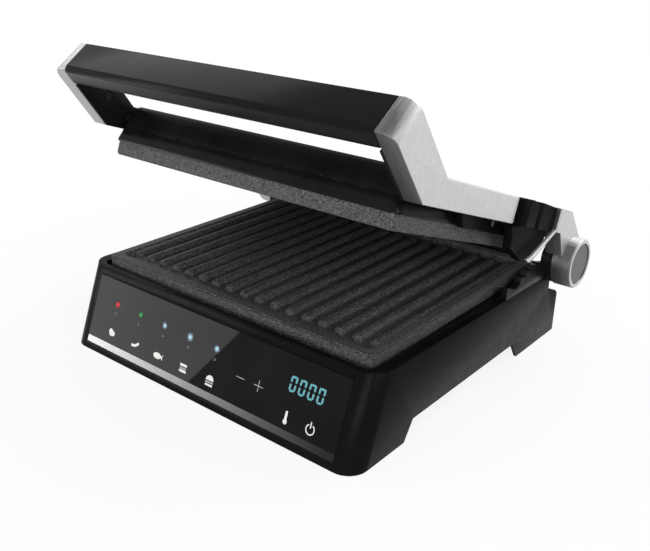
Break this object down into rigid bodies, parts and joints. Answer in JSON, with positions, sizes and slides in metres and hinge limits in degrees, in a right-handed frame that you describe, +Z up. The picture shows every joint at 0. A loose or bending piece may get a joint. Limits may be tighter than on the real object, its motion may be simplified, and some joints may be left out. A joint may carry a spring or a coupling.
{
  "type": "electric contact grill",
  "caption": "Electric contact grill with a wedge-fronted base, touch panel, ribbed plates and a floating lid on cranked arms that fold open flat.",
  "frame": {"origin": "on the table under the middle of the base", "axes": "+X to the grill's right-hand side as the user faces it, +Y to the rear, +Z up"},
  "size_m": [0.3954, 0.335, 0.2774],
  "materials": {
    "housing": "satin, fine grain",
    "bottom": "matt",
    "feet": "matt",
    "fasteners": "plain zinc",
    "panel_glass": "black, polished, back-lit",
    "trim": "polished",
    "board": "solder mask",
    "display": "dark diffuser",
    "lamps": "clear lens",
    "plate": "die-cast with a speckled dark non-stick coating",
    "element": "sheathed element",
    "pan": "bright sheet",
    "sensor": "satin",
    "tower": "fine grain",
    "tray": "satin",
    "silver": "satin silver die-casting",
    "handle": "fine leather grain",
    "disc": "dark, circular brushing",
    "lid": "polished",
    "lid_frame": "satin",
    "bush": "plain"
  },
  "bodies": {
    "base": {"base_shell": "housing", "bottom_cover": "bottom", "rubber_feet": "feet", "bottom_screws": "fasteners", "control_glass": "panel_glass", "trim_strip": "trim", "control_board": "board", "display_module": "display", "indicator_leds": "lamps", "power_board": "board", "cord_gland": "feet", "lower_plate": "plate", "lower_heater": "element", "lower_reflector": "pan", "lower_clips": "fasteners", "lower_sensor": "sensor", "hinge_tower_left": "tower", "hinge_tower_right": "tower", "hinge_collar_left": "tower", "hinge_collar_right": "tower", "hinge_pins": "fasteners", "rear_crossbar": "tower"},
    "drip_tray": {"drip_tray": "tray"},
    "arms": {"arm_left": "silver", "arm_right": "silver", "arm_liner_left": "tower", "arm_liner_right": "tower", "handle_bar": "handle", "handle_back": "handle", "hinge_leg_left": "silver", "hinge_leg_right": "silver", "hinge_cover_left": "tower", "hinge_cover_right": "tower", "stay_bars": "silver", "pivot_brackets": "tower", "pivot_pins": "fasteners", "arm_screws": "fasteners", "barrel_cap": "disc"},
    "release_button": {"release_button": "disc"},
    "lid": {"lid_cover": "lid", "lid_frame": "lid_frame", "upper_plate": "plate", "upper_heater": "element", "upper_reflector": "pan", "upper_clips": "fasteners", "upper_sensor": "sensor", "pivot_bushes": "bush", "lid_screws": "fasteners"}
  },
  "joints": [
    {"name": "lid_hinge", "type": "hinge", "parent": "base", "child": "arms", "pos_m": [0, 0.1433, 0.086], "axis": [-1, 0, 0], "range_deg": [-19.4, 158.6]},
    {"name": "lid_float", "type": "hinge", "parent": "arms", "child": "lid", "pos_m": [0, 0.02394, 0.14995], "axis": [-1, 0, 0], "range_deg": [-1.7, 0.9]},
    {"name": "drip_tray_slide", "type": "slide", "parent": "base", "child": "drip_tray", "axis": [0, 1, 0], "range_m": [0, 0.1]},
    {"name": "release_button_push", "type": "slide", "parent": "arms", "child": "release_button", "axis": [-1, 0, 0], "range_m": [0, 0.003], "stiffness_N_per_m": 400, "springref_m": -0.003}
  ]
}
